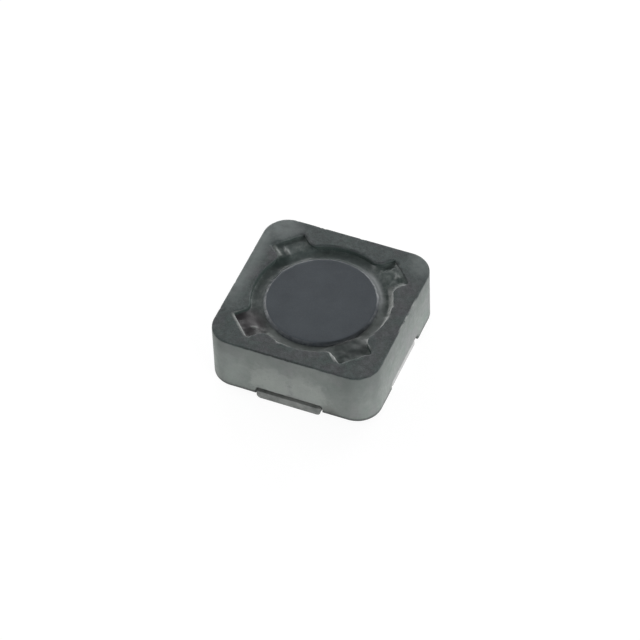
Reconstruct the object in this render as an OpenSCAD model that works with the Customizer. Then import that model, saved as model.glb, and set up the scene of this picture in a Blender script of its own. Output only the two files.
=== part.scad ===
// Shielded surface-mount power inductor, in millimetres.
// A ferrite drum carries an enamelled copper winding. It stands on a moulded base with two
// tinned terminals, inside a square ferrite shield that adhesive holds to the drum.
// Z = 0 is the circuit board, and the Z axis is the axis of the drum.

/* [Shield] */
// Width and depth of the square shield
shield_side = 12; // [11.4:0.1:13.5]
// Height of the shield between its lower and upper faces
shield_h = 4.3; // [3.8:0.1:8]
// Radius of the four upright corners
shield_corner_r = 1.75; // [1.2:0.05:2.2]
// Rounding of the outer upper and lower edges
shield_edge_r = 0.12; // [0.06:0.01:0.2]
// Height of the shield's lower face above the board
shield_lift = 0.3; // [0.2:0.05:0.5]
// Thickness of the wall between the bore and the middle of each side
side_wall = 1.27; // [1.1:0.01:1.4]

/* [Adhesive pockets] */
// Width of each corner pocket between its parallel walls
pocket_w = 2.35; // [1.6:0.05:2.7]
// Depth of each pocket beyond the bore
pocket_depth = 1.12; // [0.7:0.02:1.3]
// Rounding where the pocket walls run out into the bore
pocket_lip_r = 0.7; // [0.2:0.05:0.8]

/* [Shield windows] */
// Width of the window in the foot of each side
window_w = 4.8; // [4.2:0.1:5.2]
// Height of each window
window_h = 0.6; // [0.5:0.05:0.9]
// Radius of the upper corners of a window
window_corner_r = 0.25; // [0.1:0.05:0.35]

/* [Drum] */
// Radial gap between the drum's flanges and the bore
rim_gap = 0.78; // [0.7:0.02:1]
// Depth of the drum's upper face below the shield's
drum_sink = 0.3; // [0.2:0.05:0.5]
// Thickness of both flanges
flange_t = 0.65; // [0.5:0.05:0.8]
// Depth of the winding space, from the rim of the flanges in to the post
winding_depth = 1.05; // [1:0.01:1.5]
// Rounding of the upper rim
rim_r = 0.28; // [0.1:0.02:0.34]
// Chamfer on the other flange edges and at the ends of the post
drum_chamfer = 0.08; // [0.04:0.01:0.12]

/* [Winding] */
// Diameter of the wire over its enamel
wire_d = 0.36; // [0.28:0.02:0.38]
// Air between neighbouring turns, and between the two layers
wire_gap = 0.03; // [0.02:0.01:0.04]
// Air between the winding and the drum
wire_air = 0.04; // [0.03:0.01:0.06]
// Radius of the bends in the leads
bend_r = 0.45; // [0.4:0.01:0.5]
// Distance of each lead from the plane through the middle of the terminals
lead_y = 1.7; // [1.4:0.05:1.9]
// Air on each side of a lead in the slots that it passes
slot_air = 0.12; // [0.08:0.01:0.16]

/* [Base] */
// Thickness of the base under the drum
base_t = 0.49; // [0.44:0.01:0.56]
// Air between the base and the walls of the bore and the windows
base_air = 0.1; // [0.06:0.01:0.15]
// Height of the opening left over the base in each window
window_gap = 0.2; // [0.12:0.02:0.24]
// Distance that the two plain tabs stand out of the shield
tab_proud = 0.08; // [0.02:0.01:0.12]
// Rounding of the lower corners of the plain tabs
tab_corner_r = 0.3; // [0.1:0.02:0.32]

/* [Terminals] */
// Thickness of the tinned strip
strip_t = 0.15; // [0.1:0.01:0.18]
// Depth of the strip's lower face below the base
pad_proud = 0.06; // [0.03:0.01:0.08]
// Length of each solder pad, from its inner edge to the outside of the bend
pad_len = 2.3; // [2:0.05:2.5]
// Rounding of the inner corners of each pad
pad_corner_r = 0.25; // [0.1:0.05:0.4]
// Width of the strip where it turns up through the window
clip_w = 3.9; // [3.4:0.1:4]
// Outer radius of the bends in the strip
clip_r = 0.25; // [0.2:0.01:0.27]
// Length of the lip that returns over the base
lip_len = 0.55; // [0.3:0.05:0.8]
// Distance of the upright strip behind the face of the shield
clip_inset = 0.1; // [0.05:0.01:0.2]

/* [Solder joints] */
// Length of the notch in each pad that takes the end of a lead
notch_len = 0.95; // [0.7:0.05:1.1]
// Length of solder beyond the end of the lead
solder_end = 0.12; // [0.08:0.01:0.2]
// Height of the lowest point of the solder above the board
solder_lift = 0.02; // [0.01:0.01:0.03]

/* [Adhesive] */
// Thickness of the film between the drum and the base
film_t = 0.05; // [0.03:0.01:0.08]
// Depth of the adhesive round the rim, below the drum's upper face
rim_bond_drop = 0.12; // [0.08:0.01:0.2]
// Height of the adhesive round the rim
rim_bond_h = 0.4; // [0.4:0.05:0.6]
// Depth of the hollow in the top of the adhesive round the rim
rim_bond_dish = 0.06; // [0.03:0.01:0.1]
// Height of the adhesive in each corner pocket
corner_bond_h = 1.6; // [1:0.1:2]
// Fall of each corner dab from its middle to its sides
corner_bond_dome = 0.1; // [0.05:0.01:0.15]
// Depth of the front right dab below the shield's upper face
front_right_drop = 0.16; // [0.1:0.02:0.5]
// Depth of the back right dab below the shield's upper face
back_right_drop = 0.4; // [0.1:0.02:0.5]
// Depth of the back left dab below the shield's upper face
back_left_drop = 0.34; // [0.1:0.02:0.5]
// Depth of the front left dab below the shield's upper face
front_left_drop = 0.4; // [0.1:0.02:0.5]

/* [Hidden] */

$fn = 96;
// Overlap that lets a cut run clear of the faces it opens
cut = 0.5;
// Angle between neighbouring rings of the wire
ring_step = 15;
// Number of sides of the wire
wire_sides = 10;
// Number of facets of each rounded lip
lip_steps = 8;
// Part of a turn in which the wire climbs from the inner to the outer layer
climb_angle = 60;

// Levels, from the board upwards
base_z = pad_proud;
base_top = base_z + base_t;
window_top = shield_lift + window_h;
tab_top = window_top - window_gap;
clip_tab_top = tab_top - strip_t;
drum_z = base_top + film_t;
shield_top = shield_lift + shield_h;
drum_top = shield_top - drum_sink;
slot_z0 = drum_z + flange_t;
slot_z1 = drum_top - flange_t;

// Distances from the axis
bore_r = shield_side / 2 - side_wall;
flange_r = bore_r - rim_gap;
post_r = flange_r - winding_depth;
pocket_end = bore_r + pocket_depth;
base_r = bore_r - base_air;
seat_r = flange_r + base_air;
tab_w = window_w - 2 * base_air;
tab_reach = shield_side / 2 + tab_proud;
clip_face = shield_side / 2 - clip_inset;
pad_edge = clip_face - pad_len;

// Winding: two layers, both ends at the foot
wire_r = wire_d / 2;
inner_r = post_r + wire_air + wire_r;
outer_r = inner_r + wire_d + wire_gap;
coil_z0 = slot_z0 + wire_air + wire_r;
coil_z1 = slot_z1 - wire_air - wire_r;
up_turns = floor((coil_z1 - coil_z0) / (wire_d + wire_gap));
start_angle = asin(lead_y / inner_r);
end_angle = 180 + asin(lead_y / outer_r);
climb_start = start_angle + 360 * up_turns;
climb_end = climb_start + climb_angle;
last_part = (end_angle - start_angle - climb_angle + 360) % 360;
finish_angle = climb_end + 360 * (up_turns - 1) + last_part;
// Angle that the bend at the foot of each layer takes up
inner_swing = bend_r / inner_r * 180 / PI;
outer_swing = bend_r / outer_r * 180 / PI;

// Leads: down at the foot of each layer, then outwards into the notch of a pad
inner_lead_x = sqrt(pow(inner_r, 2) - pow(lead_y, 2));
outer_lead_x = sqrt(pow(outer_r, 2) - pow(lead_y, 2));
lead_z = base_z + wire_r;
slot_w = wire_d + 2 * slot_air;
notch_end = pad_edge + notch_len;
lead_end = notch_end - solder_end;
groove_top = lead_z + wire_r + slot_air / 2;

// ---------------------------------------------------------------- helpers

// A point given by its distance from the axis, its angle and its height
function polar(r, angle, z) = [r * cos(angle), r * sin(angle), z];

function unit(v) = v / norm(v);

// Smooth step from 0 to 1
function ease(s) = s * s * (3 - 2 * s);

// Ring of points round a path, with its first point turned away from the axis
function wire_ring(path, i) =
  let (
    before = path[max(i - 1, 0)],
    after = path[min(i + 1, len(path) - 1)],
    along = unit(after - before),
    outward = unit([path[i].x, path[i].y, 0]),
    side = unit(outward - (outward * along) * along),
    other = cross(along, side)
  )
  [for (k = [0 : wire_sides - 1])
    path[i] + wire_r * (cos(k * 360 / wire_sides) * side + sin(k * 360 / wire_sides) * other)];

// Round wire along a path, closed at both ends
module wire(path) {
  rings = len(path);
  points = [for (i = [0 : rings - 1]) each wire_ring(path, i)];
  walls = [for (i = [0 : rings - 2], k = [0 : wire_sides - 1])
    let (
      a = i * wire_sides + k,
      b = i * wire_sides + (k + 1) % wire_sides
    )
    each [[a, a + wire_sides, b], [b, a + wire_sides, b + wire_sides]]];
  first = [for (k = [0 : wire_sides - 1]) k];
  last = [for (k = [wire_sides - 1 : -1 : 0]) (rings - 1) * wire_sides + k];
  polyhedron(points, concat([first, last], walls));
}

// Shield's outer body: a rounded edge swept round a square with rounded corners
module edge_profile() {
  square([shield_corner_r - shield_edge_r, shield_h]);
  translate([0, shield_edge_r])
    square([shield_corner_r, shield_h - 2 * shield_edge_r]);
  for (z = [shield_edge_r, shield_h - shield_edge_r])
    translate([shield_corner_r - shield_edge_r, z])
      circle(shield_edge_r);
}

module shield_blank() {
  flat = shield_side - 2 * shield_corner_r;
  translate([-flat / 2, -flat / 2, 0])
    cube([flat, flat, shield_h]);
  for (turn = [0 : 90 : 270])
    rotate(turn) {
      translate([flat / 2, flat / 2, 0])
        rotate_extrude(angle = 90)
          edge_profile();
      translate([flat / 2, flat / 2, 0])
        rotate([90, 0, 0])
          linear_extrude(flat)
            edge_profile();
    }
}

// Corner pocket in plan, pointing along +X, with its lips rounded into the bore
module pocket_plan() {
  lip_y = pocket_w / 2 + pocket_lip_r;
  lip_x = sqrt(pow(bore_r + pocket_lip_r, 2) - pow(lip_y, 2));
  // Angle at which the lip runs out into the bore
  run_out = atan2(lip_y, lip_x) + 180;
  lip = [for (i = [1 : lip_steps])
    let (angle = run_out + (270 - run_out) * i / lip_steps)
    [lip_x + pocket_lip_r * cos(angle), lip_y + pocket_lip_r * sin(angle)]];
  touch = [lip_x + pocket_lip_r * cos(run_out), lip_y + pocket_lip_r * sin(run_out)];
  // The first facet of the lip runs on past its touching point into the bore
  inside = touch + unit(touch - lip[0]) * pocket_lip_r;
  half = concat([inside], lip, [[pocket_end, pocket_w / 2]]);
  polygon(concat(half, [for (i = [len(half) - 1 : -1 : 0]) [half[i].x, -half[i].y]]));
}

// Window at the foot of a side, in elevation
module window_profile() {
  translate([-window_w / 2, -cut])
    square([window_w, window_h - window_corner_r + cut]);
  translate([-window_w / 2 + window_corner_r, 0])
    square([window_w - 2 * window_corner_r, window_h]);
  for (side = [-1, 1])
    translate([side * (window_w / 2 - window_corner_r), window_h - window_corner_r])
      circle(window_corner_r);
}

// Slot for a lead, open towards +X, from the board side up to a height
module lead_slot(x, z0, z1) {
  translate([x, lead_y, z0])
    cylinder(h = z1 - z0, d = slot_w);
  translate([x, lead_y - slot_w / 2, z0])
    cube([bore_r, slot_w, z1 - z0]);
}

// Both lead slots, one for each layer's lead
module lead_slots(z0, z1) {
  lead_slot(inner_lead_x, z0, z1);
  rotate(180)
    lead_slot(outer_lead_x, z0, z1);
}

// ---------------------------------------------------------------- ferrite

// Square shield: bore, four corner pockets and a window in the foot of each side
module shield_core() {
  color("#626a68")
    translate([0, 0, shield_lift])
      difference() {
        shield_blank();
        translate([0, 0, -cut])
          cylinder(h = shield_h + 2 * cut, r = bore_r);
        for (turn = [45 : 90 : 315])
          rotate(turn)
            translate([0, 0, -cut])
              linear_extrude(shield_h + 2 * cut)
                pocket_plan();
        for (turn = [0 : 90 : 270])
          rotate(turn)
            rotate([90, 0, 0])
              linear_extrude(shield_side)
                window_profile();
      }
}

// Half section of the drum
module drum_profile() {
  c = drum_chamfer;
  polygon([
    [0, drum_z],
    [flange_r - c, drum_z],
    [flange_r, drum_z + c],
    [flange_r, slot_z0 - c],
    [flange_r - c, slot_z0],
    [post_r + c, slot_z0],
    [post_r, slot_z0 + c],
    [post_r, slot_z1 - c],
    [post_r + c, slot_z1],
    [flange_r - c, slot_z1],
    [flange_r, slot_z1 + c],
    [flange_r, drum_top - rim_r],
    [flange_r - rim_r, drum_top],
    [0, drum_top]
  ]);
  translate([flange_r - rim_r, drum_top - rim_r])
    circle(rim_r);
}

// Drum: two flanges on a post, the lower flange slotted for the leads
module drum_core() {
  color("#4b5155")
    difference() {
      rotate_extrude()
        drum_profile();
      lead_slots(drum_z - cut, slot_z0 + drum_chamfer);
    }
}

// ---------------------------------------------------------------- winding

// Lead from the notch of its pad up to the foot of a layer, seen at positive X
function lead_path(x) = concat(
  [[lead_end, lead_y, lead_z]],
  [for (t = [0 : ring_step : 90])
    [x + bend_r * (1 - sin(t)), lead_y, lead_z + bend_r * (1 - cos(t))]]
);

// Turns of both layers, from the foot of the inner one to the foot of the outer one
function inner_foot() = [for (t = [0 : ring_step : 90 - ring_step])
  polar(inner_r, start_angle + inner_swing * (1 - cos(t)), coil_z0 - bend_r * (1 - sin(t)))];

function layer(r, from, to, z_from, z_to) =
  let (steps = round((to - from) / ring_step))
  [for (i = [0 : steps])
    polar(r, from + (to - from) * i / steps, z_from + (z_to - z_from) * i / steps)];

function climb() = [for (a = [ring_step : ring_step : climb_angle - ring_step])
  polar(
    inner_r + (outer_r - inner_r) * ease(a / climb_angle),
    climb_start + a,
    coil_z1
  )];

function outer_foot() = [for (t = [90 - ring_step : -ring_step : 0])
  polar(outer_r, finish_angle - outer_swing * (1 - cos(t)), coil_z0 - bend_r * (1 - sin(t)))];

function half_turn(path) = [for (p = path) [-p.x, -p.y, p.z]];

function reversed(path) = [for (i = [len(path) - 1 : -1 : 0]) path[i]];

function winding_path() = concat(
  lead_path(inner_lead_x),
  inner_foot(),
  layer(inner_r, start_angle + inner_swing, climb_start, coil_z0, coil_z1),
  climb(),
  layer(outer_r, climb_end, finish_angle - outer_swing, coil_z1, coil_z0),
  outer_foot(),
  reversed(half_turn(lead_path(outer_lead_x)))
);

// One length of enamelled wire, wound up the post and back down over itself
module winding() {
  color("#b0602c")
    wire(winding_path());
}

// ---------------------------------------------------------------- base and terminals

// Plain tab of the base, in elevation
module tab_profile() {
  half = tab_w / 2 - tab_corner_r;
  for (side = [-1, 1])
    translate([side * half, base_z + tab_corner_r])
      circle(tab_corner_r);
  translate([-half, base_z])
    square([2 * half, tab_top - base_z]);
  translate([-tab_w / 2, base_z + tab_corner_r])
    square([tab_w, tab_top - base_z - tab_corner_r]);
}

// Terminal strip in section: pad, upright and lip, joined by two bends
module strip_bend() {
  difference() {
    circle(clip_r);
    circle(clip_r - strip_t);
    translate([-2 * clip_r, -2 * clip_r])
      square([2 * clip_r, 4 * clip_r]);
    square(2 * clip_r);
  }
}

module strip_profile() {
  bend_x = clip_face - clip_r;
  translate([pad_edge, 0])
    square([bend_x - pad_edge, strip_t]);
  translate([bend_x, clip_r])
    strip_bend();
  translate([clip_face - strip_t, clip_r])
    square([strip_t, tab_top - 2 * clip_r]);
  translate([bend_x, tab_top - clip_r])
    mirror([0, 1])
      strip_bend();
  translate([bend_x - lip_len, tab_top - strip_t])
    square([lip_len, strip_t]);
}

// Tab that a terminal clips round, in section, with its end rounded to fit the bends
module clip_tab_profile() {
  inner_bend_r = clip_r - strip_t;
  bend_x = clip_face - clip_r;
  translate([0, strip_t])
    square([bend_x, clip_tab_top - strip_t]);
  translate([0, clip_r])
    square([clip_face - strip_t, tab_top - 2 * clip_r]);
  for (z = [clip_r, tab_top - clip_r])
    translate([bend_x, z])
      circle(inner_bend_r);
}

// Base: a disc under the drum, two plain tabs and two that the terminals clip round
module base_plate() {
  color("#2b2d2e")
    difference() {
      union() {
        translate([0, 0, base_z])
          cylinder(h = base_t, r = base_r);
        for (turn = [0, 180])
          rotate(turn) {
            rotate([90, 0, 0])
              linear_extrude(tab_reach)
                tab_profile();
            translate([0, tab_w / 2, 0])
              rotate([90, 0, 0])
                linear_extrude(tab_w)
                  clip_tab_profile();
          }
      }
      translate([0, 0, base_top])
        cylinder(h = shield_h, r = seat_r);
      for (turn = [0, 180])
        rotate(turn)
          translate([pad_edge, -tab_w, 0])
            cube([pad_len, 2 * tab_w, strip_t]);
      lead_wells();
    }
}

// Wells in the base: open to the drum under each lead, closed over its groove
module lead_wells() {
  for (lead = [[0, inner_lead_x], [180, outer_lead_x]])
    rotate(lead[0])
      translate([lead[1], lead_y, 0]) {
        translate([0, 0, -cut])
          cylinder(h = shield_h, d = slot_w);
        translate([0, -slot_w / 2, -cut])
          cube([bend_r, slot_w, shield_h]);
        translate([0, -slot_w / 2, -cut])
          cube([notch_end - lead[1], slot_w, groove_top + cut]);
      }
}

// Solder pad in plan, narrowing to the clip
module pad_plan() {
  half = tab_w / 2 - pad_corner_r;
  bend_x = clip_face - clip_r;
  difference() {
    union() {
      for (side = [-1, 1])
        translate([pad_edge + pad_corner_r, side * half])
          circle(pad_corner_r);
      translate([pad_edge, -half])
        square([pad_corner_r + cut, 2 * half]);
      translate([pad_edge + pad_corner_r, -tab_w / 2])
        square([bend_x - pad_edge - pad_corner_r, tab_w]);
      translate([pad_edge + pad_corner_r, -clip_w / 2])
        square([pad_len, clip_w]);
    }
    translate([pad_edge - cut, lead_y - slot_w / 2])
      square([notch_len + cut, slot_w]);
  }
}

module terminal() {
  color("#c9ccd0")
    intersection() {
      translate([0, tab_w, 0])
        rotate([90, 0, 0])
          linear_extrude(2 * tab_w)
            strip_profile();
      linear_extrude(window_top)
        pad_plan();
    }
}

module terminal_right() {
  terminal();
}

module terminal_left() {
  rotate(180)
    terminal();
}

// Solder that fills the notch of a pad round the end of its lead
module solder() {
  crown_r = slot_w;
  color("#b9bdc2")
    difference() {
      intersection() {
        translate([pad_edge, lead_y - slot_w / 2, 0])
          cube([notch_len, slot_w, groove_top]);
        translate([pad_edge - cut, lead_y, solder_lift + crown_r])
          rotate([0, 90, 0])
            cylinder(h = notch_len + 2 * cut, r = crown_r);
      }
      translate([pad_edge - cut, lead_y, lead_z])
        rotate([0, 90, 0])
          cylinder(h = lead_end - pad_edge + cut, r = wire_r);
    }
}

module solder_right() {
  solder();
}

module solder_left() {
  rotate(180)
    solder();
}

// ---------------------------------------------------------------- adhesive

// Film that bonds the drum to the base, open over the leads
module base_bond() {
  color("#5a5046")
    difference() {
      translate([0, 0, base_top])
        cylinder(h = film_t, r = flange_r - 2 * drum_chamfer);
      lead_slots(base_top - cut, drum_z + cut);
    }
}

// Bead between the drum's upper rim and the bore, with a hollow top. It runs up the rim's rounding.
module rim_bond() {
  top = drum_top - rim_bond_drop;
  half = (bore_r - flange_r) / 2;
  dish_r = (pow(half, 2) + pow(rim_bond_dish, 2)) / (2 * rim_bond_dish);
  color("#34383a")
    rotate_extrude()
      difference() {
        translate([flange_r - rim_r, top - rim_bond_h])
          square([bore_r - flange_r + rim_r, rim_bond_h]);
        square([flange_r, drum_top - rim_r]);
        translate([flange_r - rim_r, drum_top - rim_r])
          circle(rim_r);
        translate([flange_r + half, top + dish_r - rim_bond_dish])
          circle(dish_r, $fn = 360);
      }
}

// Domed dab that fills the upper part of a corner pocket
module corner_bond(turn, drop) {
  top = shield_top - drop;
  half = pocket_w / 2;
  dome_r = (pow(half, 2) + pow(corner_bond_dome, 2)) / (2 * corner_bond_dome);
  color("#34383a")
    rotate(turn)
      intersection() {
        translate([0, 0, top - corner_bond_h])
          linear_extrude(corner_bond_h + cut)
            difference() {
              translate([0, -half])
                square([pocket_end, pocket_w]);
              circle(bore_r);
            }
        translate([bore_r, 0, top - dome_r])
          sphere(dome_r);
      }
}

module corner_bond_front_right() {
  corner_bond(-45, front_right_drop);
}

module corner_bond_back_right() {
  corner_bond(45, back_right_drop);
}

module corner_bond_back_left() {
  corner_bond(135, back_left_drop);
}

module corner_bond_front_left() {
  corner_bond(225, front_left_drop);
}

shield_core();
drum_core();
winding();
base_plate();
terminal_right();
terminal_left();
solder_right();
solder_left();
base_bond();
rim_bond();
corner_bond_front_right();
corner_bond_back_right();
corner_bond_back_left();
corner_bond_front_left();
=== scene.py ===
"""Looks of the shielded inductor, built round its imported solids: ferrite, adhesive, base, tin and wire.

Shapes are worked out in millimetres and become metres when a mesh is made.
"""

import math
import random

import bmesh
import bpy
import numpy as np
from mathutils import Matrix, Vector, noise


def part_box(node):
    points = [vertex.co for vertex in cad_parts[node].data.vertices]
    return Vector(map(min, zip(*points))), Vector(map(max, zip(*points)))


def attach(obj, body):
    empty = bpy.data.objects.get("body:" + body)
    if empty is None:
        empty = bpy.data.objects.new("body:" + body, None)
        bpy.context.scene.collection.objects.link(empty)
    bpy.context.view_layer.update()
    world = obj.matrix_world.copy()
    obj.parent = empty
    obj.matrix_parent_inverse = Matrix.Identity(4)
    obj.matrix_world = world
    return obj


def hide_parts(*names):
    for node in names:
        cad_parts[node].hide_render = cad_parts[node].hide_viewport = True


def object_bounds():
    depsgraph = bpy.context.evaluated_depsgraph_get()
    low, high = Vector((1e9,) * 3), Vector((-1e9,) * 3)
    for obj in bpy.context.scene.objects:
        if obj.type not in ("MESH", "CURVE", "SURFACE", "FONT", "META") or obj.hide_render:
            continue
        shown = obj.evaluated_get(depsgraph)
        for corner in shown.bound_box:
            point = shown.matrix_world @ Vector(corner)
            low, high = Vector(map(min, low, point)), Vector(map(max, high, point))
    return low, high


MM = 0.001

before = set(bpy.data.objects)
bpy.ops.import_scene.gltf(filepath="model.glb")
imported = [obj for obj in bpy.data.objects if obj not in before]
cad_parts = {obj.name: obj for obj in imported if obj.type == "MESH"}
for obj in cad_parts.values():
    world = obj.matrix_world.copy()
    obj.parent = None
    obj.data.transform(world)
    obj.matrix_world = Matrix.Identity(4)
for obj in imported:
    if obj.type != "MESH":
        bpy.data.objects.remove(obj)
cad_low, cad_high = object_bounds()


def node_box(node):
    """Lowest and highest corner of a CAD node, in millimetres."""
    low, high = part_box(node)
    return np.array(low) / MM, np.array(high) / MM


# -------------------- sizes from the frame

SHIELD_LOW, SHIELD_HIGH = node_box("shield_core")
HALF_SIDE = SHIELD_HIGH[0]
SHIELD_FOOT, SHIELD_TOP = SHIELD_LOW[2], SHIELD_HIGH[2]
DRUM_LOW, DRUM_HIGH = node_box("drum_core")
FLANGE_R = DRUM_HIGH[0]
DRUM_FOOT, DRUM_TOP = DRUM_LOW[2], DRUM_HIGH[2]
BEAD_LOW, BEAD_HIGH = node_box("rim_bond")
BORE_R = BEAD_HIGH[0]
BEAD_FOOT = BEAD_LOW[2]

# A pocket's half width and end follow from the box of a dab, which lies on a diagonal
DAB_LOW, DAB_HIGH = node_box("corner_bond_back_right")
DAB_CORNER = math.sqrt(2) * DAB_LOW[0]
POCKET_HALF = (math.sqrt(2 * BORE_R**2 - DAB_CORNER**2) - DAB_CORNER) / 2
POCKET_END = math.sqrt(2) * DAB_HIGH[0] - POCKET_HALF

# Sizes that no box gives
CORNER_R = 1.75
OUTER_EDGE_R = 0.12
BORE_EDGE_R = 0.13
FOOT_EDGE_R = 0.09
LIP_R = 0.7
POCKET_CORNER_R = 0.14
WINDOW_HALF = 2.4
WINDOW_H = 0.6
WINDOW_CORNER_R = 0.25
WINDOW_EDGE = 0.06
FLANGE_T = 0.65
RIM_R = 0.28
FLANGE_EDGE = 0.08
WINDING_DEPTH = 1.05
POST_R = FLANGE_R - WINDING_DEPTH
LEAD_SLOT_W = 0.6
CUT_PAST = 0.5

# Unevenness of the surfaces, as waves given by (height, size, seed)
SHIELD_WAVES = [(0.010, 2.2, 1), (0.004, 0.5, 2)]
DRUM_WAVES = [(0.004, 1.6, 5), (0.003, 0.4, 6)]
ADHESIVE_WAVES = [(0.022, 0.6, 21), (0.010, 0.28, 22)]

# The drum's rim carries a painted pale highlight but for one side: the direction of the middle of the
# highlit part, the side away from the camera
RIM_FAR_SIDE_ANGLE = 127


# -------------------- mesh helpers


def make_object(name, points, faces):
    """A mesh object from points in millimetres."""
    mesh = bpy.data.meshes.new(name)
    mesh.from_pydata([tuple(p) for p in np.asarray(points) * MM], [], faces)
    mesh.validate()
    thing = bpy.data.objects.new(name, mesh)
    bpy.context.scene.collection.objects.link(thing)
    return thing


def orient_outwards(thing):
    """Turns all faces of a closed mesh to face outwards."""
    work = bmesh.new()
    work.from_mesh(thing.data)
    bmesh.ops.recalc_face_normals(work, faces=work.faces)
    work.to_mesh(thing.data)
    work.free()


def smooth_by_angle(thing, degrees):
    """Smooth shading with sharp edges where faces meet at more than an angle."""
    thing.data.polygons.foreach_set("use_smooth", [True] * len(thing.data.polygons))
    thing.data.set_sharp_from_angle(angle=math.radians(degrees))


def apply_modifiers(thing):
    """Puts the result of an object's modifiers into its mesh."""
    graph = bpy.context.evaluated_depsgraph_get()
    mesh = bpy.data.meshes.new_from_object(thing.evaluated_get(graph))
    old = thing.data
    thing.modifiers.clear()
    thing.data = mesh
    bpy.data.meshes.remove(old)


def cut_away(thing, cutter):
    """Subtracts a closed cutter from an object and removes the cutter."""
    boolean = thing.modifiers.new("cut", "BOOLEAN")
    boolean.operation = "DIFFERENCE"
    boolean.solver = "EXACT"
    boolean.object = cutter
    apply_modifiers(thing)
    bpy.data.objects.remove(cutter)


def grid_faces(rings, count, close_rings=False, close_count=True):
    """Quads between rings of points that are numbered ring by ring."""
    faces = []
    for i in range(rings if close_rings else rings - 1):
        for j in range(count if close_count else count - 1):
            a = i * count + j
            b = i * count + (j + 1) % count
            c = (i + 1) % rings * count + (j + 1) % count
            d = (i + 1) % rings * count + j
            faces.append((a, b, c, d))
    return faces


def loft(points, faces, rings):
    """Adds a closed solid through rings of points to lists of points and faces."""
    start, count = len(points), len(rings[0])
    last = start + (len(rings) - 1) * count
    points += [tuple(p) for ring in rings for p in ring]
    faces += [tuple(start + k for k in face) for face in grid_faces(len(rings), count)]
    faces.append(tuple(start + k for k in range(count)))
    faces.append(tuple(last + k for k in reversed(range(count))))


def ways(degrees):
    """Unit vectors in plan at some angles."""
    angles = np.radians(degrees)
    return np.stack([np.cos(angles), np.sin(angles)], axis=1)


def raised(plan, z):
    """Plan points at one height, or at a height each."""
    return np.column_stack([plan, np.broadcast_to(z, len(plan))])


def arc(centre, radius, start, end, steps):
    """Points along an arc, angles in degrees."""
    return np.array(centre) + radius * ways(np.linspace(start, end, steps + 1))


def resample(line, count):
    """A polyline's points spaced evenly along it."""
    steps = np.linalg.norm(np.diff(line, axis=0), axis=1)
    along = np.concatenate([[0], np.cumsum(steps)])
    places = np.linspace(0, along[-1], count)
    return np.stack([np.interp(places, along, line[:, k]) for k in range(2)], axis=1)


def turned(points, degrees):
    """Plan points turned about the Z axis."""
    a = math.radians(degrees)
    c, s = math.cos(a), math.sin(a)
    return points @ np.array([[c, s], [-s, c]])


def plan_normals(outline):
    """Unit normals of a closed plan outline that runs anticlockwise, pointing away from its inside."""
    ahead = np.roll(outline, -1, axis=0) - np.roll(outline, 1, axis=0)
    ahead /= np.linalg.norm(ahead, axis=1)[:, None]
    return np.stack([ahead[:, 1], -ahead[:, 0]], axis=1)


def noise_at(points, size, seed):
    """Smooth noise between about -1 and 1, with features of a given size in millimetres."""
    shift = Vector((seed * 7.31, seed * 3.17, seed * 5.71))
    return np.array([noise.noise(Vector(p) / size + shift) for p in points])


def uneven(points, waves):
    """Height of an uneven surface at its points."""
    return sum(height * noise_at(points, size, seed) for height, size, seed in waves)


def grid_normals(grid, close_rings):
    """Normals of a grid of points, from the differences along its rings and across them."""
    along = np.roll(grid, -1, axis=1) - np.roll(grid, 1, axis=1)
    if close_rings:
        across = np.roll(grid, -1, axis=0) - np.roll(grid, 1, axis=0)
    else:
        across = np.gradient(grid, axis=0)
    normals = np.cross(along, across)
    return normals / np.maximum(np.linalg.norm(normals, axis=2), 1e-9)[:, :, None]


def moved_out(grid, normals, height):
    """A grid of points moved along its normals, each by its own height."""
    return grid + normals * height.reshape(grid.shape[:2])[:, :, None]


# -------------------- outlines in plan

# Steps along each eighth of an outline, and the turns in plan of a part that comes four times
EIGHTH = 90
QUARTERS = (0, 90, 180, 270)


def pocket_side():
    """Half of a pocket that points along +X: from the bore at 45 degrees to the middle of its end."""
    lip_y = POCKET_HALF + LIP_R
    lip_x = math.sqrt((BORE_R + LIP_R) ** 2 - lip_y**2)
    mouth = math.degrees(math.atan2(lip_y, lip_x))
    corner = (POCKET_END - POCKET_CORNER_R, POCKET_HALF - POCKET_CORNER_R)
    return np.concatenate([
        arc((0, 0), BORE_R, 45, mouth, 40),
        arc((lip_x, lip_y), LIP_R, mouth + 180, 270, 16)[1:],
        arc(corner, POCKET_CORNER_R, 90, 0, 8),
        [(POCKET_END, 0)],
    ])


def opening_outline():
    """The bore with its four pockets, anticlockwise from the +X axis."""
    side = resample(pocket_side(), EIGHTH + 1)
    lower = side * [1, -1]
    quarter = np.concatenate([lower[:-1], side[::-1][:-1]])
    return np.concatenate([turned(quarter, 45 + turn) for turn in QUARTERS])


def side_outline():
    """The square with its rounded corners, anticlockwise from the +X axis."""
    flat = HALF_SIDE - CORNER_R
    half = np.concatenate([[(HALF_SIDE, 0)], arc((flat, flat), CORNER_R, 0, 45, 24)])
    lower = resample(half, EIGHTH + 1)
    upper = lower[:, ::-1]
    quarter = np.concatenate([lower[:-1], upper[::-1][:-1]])
    return np.concatenate([turned(quarter, turn) for turn in QUARTERS])


# -------------------- shield


def rounding(ring, radius, z, way, start, end, count):
    """Rings over a rounded edge at a height: way is 1 at the foot of the faces and -1 at their top."""
    angles = np.radians(np.linspace(start, end, count))
    return [ring(radius * (1 - math.cos(a)), z + way * radius * (1 - math.sin(a))) for a in angles]


def between(low, high, count):
    """Rings spaced evenly from one ring to another, without those two."""
    return [low * (1 - t) + high * t for t in np.linspace(0, 1, count)[1:-1]]


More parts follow.
